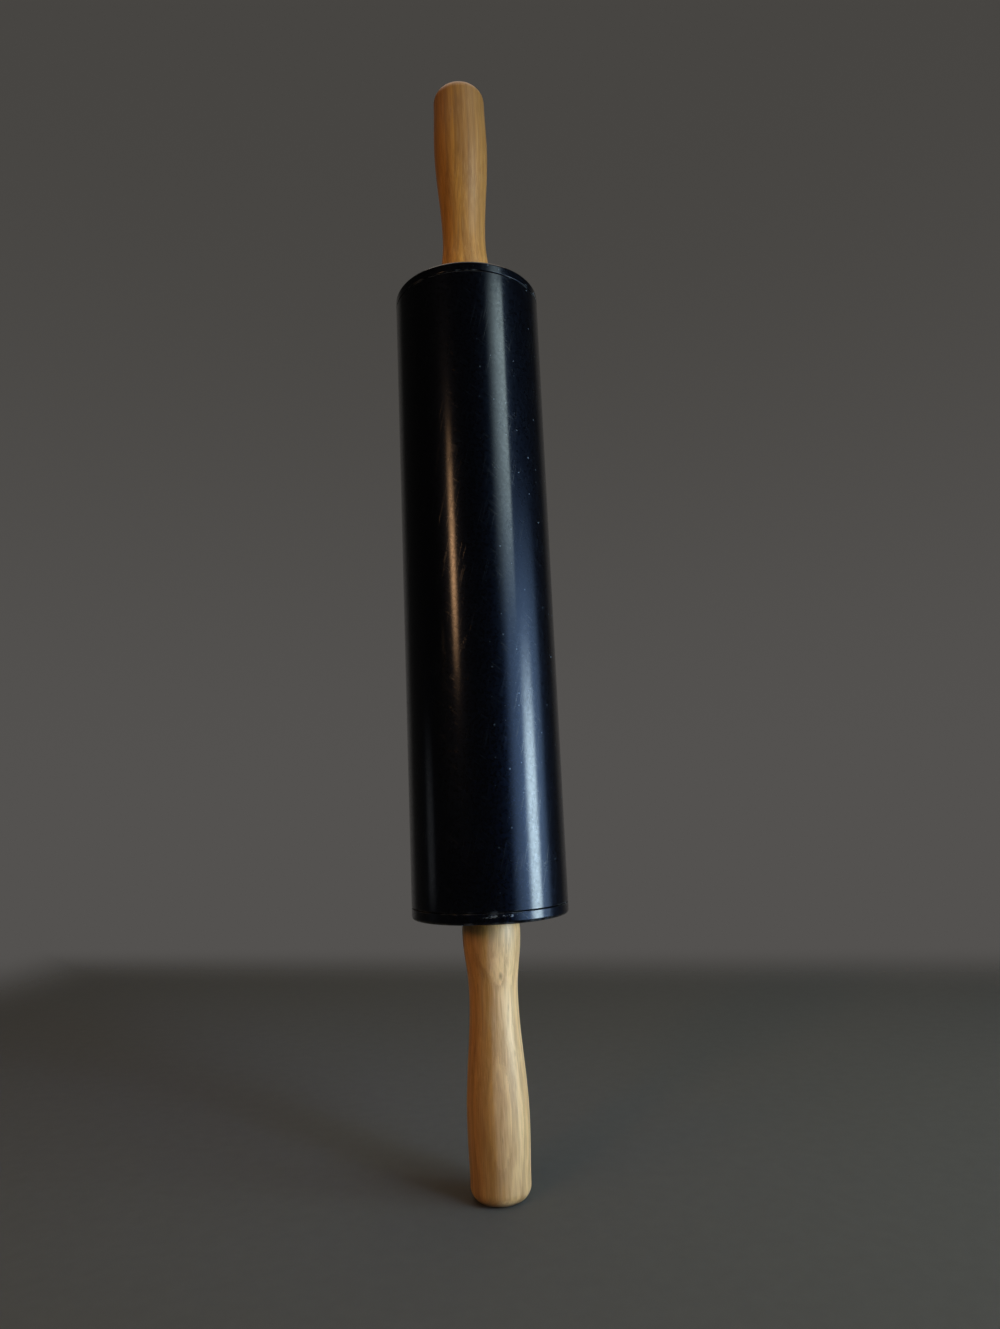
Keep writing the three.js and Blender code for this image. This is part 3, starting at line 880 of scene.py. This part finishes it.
def lacquered_wood(end, pith, lean, knot, sapwood, heartwood_and_painted_side_light, end_darkening):
    """Rubberwood, turned, sanded and lacquered satin.

    It gives the eye sapwood with a tone down its -X side that is partly heartwood and partly painted light,
    painted shade on the lower handle and painted fill light on the upper, soft growth layers cut into arches
    by the turned outline, long fine fibres that feather their edges, short dark pores, a pin knot, dirt with
    painted contact shade at the neck, darkening towards the end by a share given for each handle, and end
    grain that has soaked up more lacquer. The layers lie about a pith beside the axis, whose slope is lean.
    """
    material, tree, place = new_material(f"lacquered_turned_rubberwood_{end}")
    sideways, back, upwards = add(tree, "SeparateXYZ", {0: place}).outputs
    base, way = ENDS[end]
    height = add(tree, "Math", {0: upwards, 1: way, 2: -way * base}, operation="MULTIPLY_ADD")

    # Fibres, streaks and wavy bands, drawn out along the grain
    along = add(tree, "VectorMath", {0: place, 1: (1, 1, 1 / FIBRE_STRETCH)}, operation="MULTIPLY")
    fibre = add(tree, "TexNoise", {"Vector": along, "Scale": 1 / FIBRE_WIDTH, "Detail": 3, "Roughness": 0.6})
    wavy = add(tree, "VectorMath", {0: place, 1: (1, 1, 1 / BAND_STRETCH)}, operation="MULTIPLY")
    streak = add(tree, "TexNoise", {"Vector": wavy, "Scale": 1 / STREAK_WIDTH, "Detail": 1})
    band = add(tree, "TexNoise", {"Vector": wavy, "Scale": 1 / BAND_WIDTH, "Detail": 2, "Distortion": 0.7})

    # Distance to the knot, which the layers swell round
    gap = add(tree, "VectorMath", {0: place, 1: knot}, operation="SUBTRACT")
    gap = add(tree, "VectorMath", {0: gap, 1: (1, 1, KNOT_SQUEEZE)}, operation="MULTIPLY")
    gap = add(tree, "VectorMath", {0: gap}, operation="LENGTH")
    swell = add(tree, "MapRange", {VALUE: gap, LOW: SWELLING[0], HIGH: SWELLING[1], TO_HIGH: 0.8}, **SMOOTH)

    # Growth layers that waver, with edges feathered by the fibres
    drawn = add(tree, "VectorMath", {0: place, 1: (1, 1, 1 / WAVER_STRETCH)}, operation="MULTIPLY")
    waver = add(tree, "TexNoise", {"Vector": drawn, "Scale": 1 / WAVER_WIDTH, "Detail": 2})
    waver = add(tree, "MapRange", {VALUE: waver, LOW: 0.25, HIGH: 0.75, TO_LOW: -0.5, TO_HIGH: 0.5})
    feather = add(tree, "MapRange", {VALUE: fibre, LOW: 0.25, HIGH: 0.75, TO_LOW: -0.3, TO_HIGH: 0.3})
    late = growth_layers(tree, sideways, back, height, pith, lean, (waver, feather, swell))

    pore = short_pores(tree, place, late)
    end_grain = end_grain_share(tree)
    # Dirt with painted contact shade in the neck's last few millimetres
    dirt_and_shade = neck_dirt_and_shade(tree, height, streak)
    eye = add(tree, "MapRange", {VALUE: gap, LOW: KNOT_EYE[0], HIGH: KNOT_EYE[1]})

    # Darker towards the handle's end, by a share given for each handle
    toward_end = add(tree, "MapRange", {VALUE: height, LOW: NECK[1], HIGH: HANDLE_REACH})

    # Tone down the -X side, partly heartwood and partly painted light (painted shade on the lower handle,
    # painted fill light on the upper), whose edge wavers with the layers and bands
    side = add(tree, "Math", {0: waver, 1: SWAY[0], 2: sideways}, operation="MULTIPLY_ADD")
    side = add(tree, "Math", {0: band, 1: SWAY[1], 2: side}, operation="MULTIPLY_ADD")
    heartwood_and_painted_side_light_share = add(tree, "MapRange", {VALUE: side, LOW: HEARTWOOD_AND_SIDE_LIGHT_EDGE[0], HIGH: HEARTWOOD_AND_SIDE_LIGHT_EDGE[1]}, **SMOOTH)

    # Tones laid over each other: what each follows, over which range, how strongly, and its colour
    tone = linear(sapwood)
    for share, low, high, strength, colour in (
        # Heartwood with painted side light: painted shade on the lower handle, painted fill light on the
        # upper
        (heartwood_and_painted_side_light_share, 0, 1, 0.75, heartwood_and_painted_side_light),
        (late, 0, 1, 0.34, "#7A4A17"),
        (band, 0.42, 0.7, 0.4, "#7A4A17"),
        (streak, 0.45, 0.7, 0.25, "#8A531A"),
        (fibre, 0.42, 0.7, 0.2, "#7A4A17"),
        (fibre, 0.5, 0.25, 0.25, "#E2BC88"),
        (toward_end, 0, 1, end_darkening, "#5A3716"),
        (pore, 0, 1, 0.5, "#5A3711"),
        (eye, 0, 1, 0.6, "#4F3014"),
        (end_grain, 0, 1, 0.75, "#5A3716"),
        # Dirt with painted contact shade at the neck, under the roller's end
        (dirt_and_shade, 0, 1, 0.35, "#523617"),
    ):
        share = add(tree, "MapRange", {VALUE: share, LOW: low, HIGH: high, TO_HIGH: strength})
        tone = add(tree, "Mix", {FACTOR: share, UNDER: tone, OVER: linear(colour)}, **COLOURS)
    rough = add(tree, "MapRange", {VALUE: fibre, LOW: 0.3, HIGH: 0.7, TO_LOW: 0.45, TO_HIGH: 0.6})
    grain = add(tree, "Math", {0: fibre, 1: pore}, operation="SUBTRACT")
    bump = add(tree, "Bump", {"Height": grain, "Strength": 0.5, "Distance": GRAIN_DEPTH * MM})

    # Hollows from sanding by hand
    sanded = add(tree, "VectorMath", {0: place, 1: (1, 1, 1 / HOLLOW_STRETCH)}, operation="MULTIPLY")
    sanded = add(tree, "TexNoise", {"Vector": sanded, "Scale": 1 / HOLLOW_WIDTH, "Detail": 1})
    bump = add(tree, "Bump", {"Height": sanded, "Strength": 1, "Distance": HOLLOW_DEPTH * MM, "Normal": bump})
    return surface_of(material, {
        "Base Color": tone,
        "Roughness": rough,
        "Normal": bump,
        "IOR": 1.32,
        "Coat Weight": 0.55,
        "Coat Roughness": 0.42,
        "Coat IOR": 1.5,
    })


# Metals: width of stains, depth of tool lines (coarser than real ones, to show) and swing of roughness
STAIN = 3
LINE_DEPTH = 0.02
SHINE_SWING = 0.3


def turned_metal(name, light, dark, line, roughness):
    """Metal worked round its axis: fine rings of tone and shine at the tool's line spacing."""
    material, tree, place = new_material(name)
    sideways, back, height = add(tree, "SeparateXYZ", {0: place}).outputs
    across = add(tree, "CombineXYZ", {0: sideways, 1: back})
    radius = add(tree, "VectorMath", {0: across}, operation="LENGTH")
    rings = add(tree, "CombineXYZ", {0: radius, 2: height})
    feed = add(tree, "TexNoise", {"Vector": rings, "Scale": 1 / line, "Detail": 2})
    stain = add(tree, "TexNoise", {"Vector": place, "Scale": 1 / STAIN, "Detail": 4})
    tone = add(tree, "Mix", {FACTOR: stain, UNDER: linear(light), OVER: linear(dark)}, **COLOURS)
    low, high = roughness * (1 - SHINE_SWING), roughness * (1 + SHINE_SWING)
    rough = add(tree, "MapRange", {VALUE: feed, LOW: 0.3, HIGH: 0.7, TO_LOW: low, TO_HIGH: high})
    bump = add(tree, "Bump", {"Height": feed, "Strength": 0.2, "Distance": LINE_DEPTH * MM})
    return surface_of(material, {"Base Color": tone, "Metallic": 1, "Roughness": rough, "Normal": bump})


# Stage: floor, sky and lamps

FLOOR_REACH = (680, 540)
FLOOR_CLEAR = 0.6
FLOOR_TURN = math.radians(-13)
FLOOR_GRAIN = 6

# Rise at which the sky is darkest, and cosines of the angles from straight behind where the backdrop ends
SKY_RISE = 0.7
BACKDROP = (0.62, 0.84)

# Lamps stand on a round wall; the two spots are aimed at the lower handle
LAMP_WALL = 900
SPOT_HEIGHTS = (310, 390)
SPOT_FADES = (0.2, 0.2, 0.2, 0.2)
SPOT_AIM = 58
SPOT_SPREAD = 14
OVERHEAD_WIDTH = 1500
OVERHEAD_HEIGHT = 1700
OVERHEAD_RADIANCE = 1.2


def add_floor():
    """Grey floor: one oblong about the axis, turned a little, whose outer part fades into the sky."""
    corners = np.array(((-1, -1, 0), (1, -1, 0), (1, 1, 0), (-1, 1, 0))) * (*FLOOR_REACH, 0) * MM
    turned = corners @ np.array(Matrix.Rotation(-FLOOR_TURN, 3, "Z"))
    mesh = to_mesh("floor", turned, [(0, 1, 2, 3)])
    material, tree, place = new_material("matte_grey_floor")
    grain = add(tree, "TexNoise", {"Vector": place, "Scale": 1 / FLOOR_GRAIN, "Detail": 4})
    tone = add(tree, "Mix", {FACTOR: grain, UNDER: linear("#5C5B57"), OVER: linear("#64635F")}, **COLOURS)
    matte = add(tree, "BsdfPrincipled", {"Base Color": tone, "Roughness": 0.8, "Specular IOR Level": 0.2})
    share = add(tree, "VectorRotate", {"Vector": place, "Angle": -FLOOR_TURN}, rotation_type="Z_AXIS")
    share = add(tree, "VectorMath", {0: share, 1: (*FLOOR_REACH, 1)}, operation="DIVIDE")
    share = add(tree, "SeparateXYZ", {0: add(tree, "VectorMath", {0: share}, operation="ABSOLUTE")})
    share = add(tree, "Math", {0: share.outputs[0], 1: share.outputs[1]}, operation="MAXIMUM")
    fade = add(tree, "MapRange", {VALUE: share, LOW: FLOOR_CLEAR}, interpolation_type="SMOOTHERSTEP")
    mixed = add(tree, "MixShader", {0: fade, 1: matte, 2: add(tree, "BsdfTransparent")})
    add(tree, "OutputMaterial", {"Surface": mixed})
    mesh.materials.append(material)
    floor = new_object("floor", mesh)


def add_sky():
    """Grey studio: a lit backdrop behind the pin and a dark room round the rest, both darker overhead."""
    world = bpy.data.worlds.new("studio")
    world.use_nodes = True
    tree = world.node_tree
    tree.nodes.clear()
    direction = add(tree, "TexCoord").outputs["Generated"]
    parts = add(tree, "SeparateXYZ", {0: direction})
    climb = add(tree, "MapRange", {VALUE: parts.outputs[2], HIGH: SKY_RISE}, **SMOOTH)
    level = add(tree, "VectorMath", {0: direction, 1: (1, 1, 0)}, operation="MULTIPLY")
    level = add(tree, "VectorMath", {0: level}, operation="NORMALIZE")
    level = add(tree, "SeparateXYZ", {0: level})
    behind = add(tree, "MapRange", {VALUE: level.outputs[1], LOW: BACKDROP[0], HIGH: BACKDROP[1]}, **SMOOTH)
    room = add(tree, "Mix", {FACTOR: climb, UNDER: linear("#2B2A29"), OVER: linear("#1C1C1B")}, **COLOURS)
    backdrop = add(tree, "Mix", {FACTOR: climb, UNDER: linear("#545250"), OVER: linear("#474542")}, **COLOURS)
    tone = add(tree, "Mix", {FACTOR: behind, UNDER: room, OVER: backdrop}, **COLOURS)
    sky = add(tree, "Background", {"Color": tone, "Strength": 1})
    add(tree, "OutputWorld", {"Surface": sky})
    bpy.context.scene.world = world


def add_lamp(name, azimuth, heights, radiance, colour, fades, aim=None, spread=180):
    """Soft panel on a round wall about the axis, facing it, or a height on it that the panel aims at.

    azimuth holds its left and right edges in degrees from the camera's side, and heights its other two.
    fades are the shares over which its left, right, bottom and top edges grow dim. spread is the angle
    that a grid in front of it lets through. Its power is radiance x pi x area x (1 - half / tan(half)),
    where half is half of spread.
    """
    middle = math.radians(sum(azimuth) / 2)
    half = math.radians(azimuth[1] - azimuth[0]) / 2
    bottom, top = heights
    panel = bpy.data.lights.new(name, "AREA")
    panel.shape = "RECTANGLE"
    panel.size = 2 * LAMP_WALL * math.tan(half) * MM
    panel.size_y = (top - bottom) * MM
    panel.spread = math.radians(spread)
    through = 1 - panel.spread / 2 / math.tan(panel.spread / 2)
    panel.energy = radiance * math.pi * panel.size * panel.size_y * through
    panel.color = linear(colour)[:3]
    panel.use_nodes = True
    tree = panel.node_tree
    tree.nodes.clear()
    across = add(tree, "SeparateXYZ", {0: add(tree, "NewGeometry").outputs["Parametric"]})
    glow = 1.0
    for edge, fade in enumerate(fades):
        start, finish = (0, fade) if edge % 2 == 0 else (1, 1 - fade)
        ramp = add(tree, "MapRange", {VALUE: across.outputs[edge // 2], LOW: start, HIGH: finish}, **SMOOTH)
        glow = add(tree, "Math", {0: glow, 1: ramp}, operation="MULTIPLY")
    add(tree, "OutputLight", {"Surface": add(tree, "Emission", {"Strength": glow})})
    height = (bottom + top) / 2
    outwards = Vector((math.sin(middle), -math.cos(middle), 0)) * LAMP_WALL
    place = (outwards + Vector((0, 0, height))) * MM
    outwards.z = 0 if aim is None else height - aim
    lamp = new_object(name, panel)
    lamp.matrix_world = Matrix.Translation(place) @ outwards.to_track_quat("Z", "Y").to_matrix().to_4x4()


def add_overhead():
    """Wide soft panel above the pin, which lights it and the floor."""
    panel = bpy.data.lights.new("overhead", "AREA")
    panel.shape = "DISK"
    panel.size = OVERHEAD_WIDTH * MM
    panel.energy = OVERHEAD_RADIANCE * math.pi * math.pi * (panel.size / 2) ** 2
    panel.color = linear("#FFEEDB")[:3]
    lamp = new_object("overhead", panel)
    lamp.location = (0, 0, OVERHEAD_HEIGHT * MM)


# The whole scene

bpy.context.scene.view_settings.view_transform = "Standard"
add_camera()
add_floor()
add_sky()

# The second panel and the window reach below the floor, past its edge, so that their reflections run
# down to the roller's lower rim
add_lamp("upper_right_panel", (28, 60), (340, 950), 8.8, "#E2FAF8", (0.85, 0.08, 0.52, 0.1))
add_lamp("lower_right_panel", (58, 84), (-100, 400), 26, "#E2F9FA", (0.4, 0.3, 0.01, 0.48), spread=80)
add_lamp("cool_window", (32, 104), (-100, 640), 5, "#A8D0FF", (0.25, 0.22, 0.01, 0.43), spread=90)
add_lamp("handle_spot", (37, 57), SPOT_HEIGHTS, 110, "#94B6FF", SPOT_FADES, SPOT_AIM, SPOT_SPREAD)
add_lamp("left_spot", (-65, -45), SPOT_HEIGHTS, 35, "#FFD09A", SPOT_FADES, SPOT_AIM, SPOT_SPREAD)
add_lamp("warm_strip", (-40, -28), (290, 720), 23.5, "#FFC58E", (0.5, 0.5, 0.45, 0.6))
add_lamp("far_left_strip", (-97, -78), (1, 280), 0.35, "#F3F9FF", (0.4, 0.4, 0.1, 0.6))
add_overhead()

coating = black_coating()
bearing_steel = turned_metal("ground_bearing_steel", "#C9CBCD", "#B4B6B8", line=0.12, roughness=0.18)
turned_steel = turned_metal("turned_zinc_plated_steel", "#C2C3C2", "#A3A5A6", line=0.2, roughness=0.3)
pressed_steel = turned_metal("pressed_shield_steel", "#A8A69F", "#8B8983", line=0.3, roughness=0.38)
spring_steel = turned_metal("blackened_spring_steel", "#47484A", "#2F3032", line=0.3, roughness=0.45)
brass = turned_metal("turned_brass", "#C9A24E", "#A67F34", line=0.2, roughness=0.32)

dress(roller_tube(), "roller_tube", coating)
dress(axle_rod(), "axle_rod", bearing_steel)
# Each -X side tone is partly heartwood and partly painted light: painted shade on the lower handle, and
# painted fill light on the upper, where it is lighter than the sapwood
woods = {
    "lower": lacquered_wood(
        "lower", pith=(0, 35.06), lean=-0.0247, knot=(3, -9, ROLLER_BOTTOM - 21),
        sapwood="#E8BC84", heartwood_and_painted_side_light="#C08628", end_darkening=0.1),
    "upper": lacquered_wood(
        "upper", pith=(36, 10), lean=0.01, knot=(-6, 9, ROLLER_TOP + 60),
        sapwood="#C08541", heartwood_and_painted_side_light="#EEA63B", end_darkening=0.45),
}
for end in ENDS:
    dress(end_cap(end), f"{end}_end_cap", coating)
    dress(handle(end), f"{end}_handle", woods[end])
    dress(bearing_outer_ring(end), f"{end}_bearing_outer_ring", bearing_steel)
    dress(bearing_inner_ring(end), f"{end}_bearing_inner_ring", bearing_steel)
    for side in ("outer", "inner"):
        dress(bearing_shield(end, side), f"{end}_bearing_{side}_shield", pressed_steel)
        dress(cage_ribbon(end, side), f"{end}_bearing_cage", pressed_steel)
    for index in range(BALL_COUNT):
        dress(bearing_ball(end, index), f"{end}_bearing_ball_{index + 1}", bearing_steel)
    dress(circlip(end), f"{end}_circlip", spring_steel)
    dress(spacer_collar(end), f"{end}_spacer_collar", turned_steel)
    dress(thrust_washer(end), f"{end}_thrust_washer", turned_steel)
    dress(threaded_insert(end), f"{end}_threaded_insert", brass)
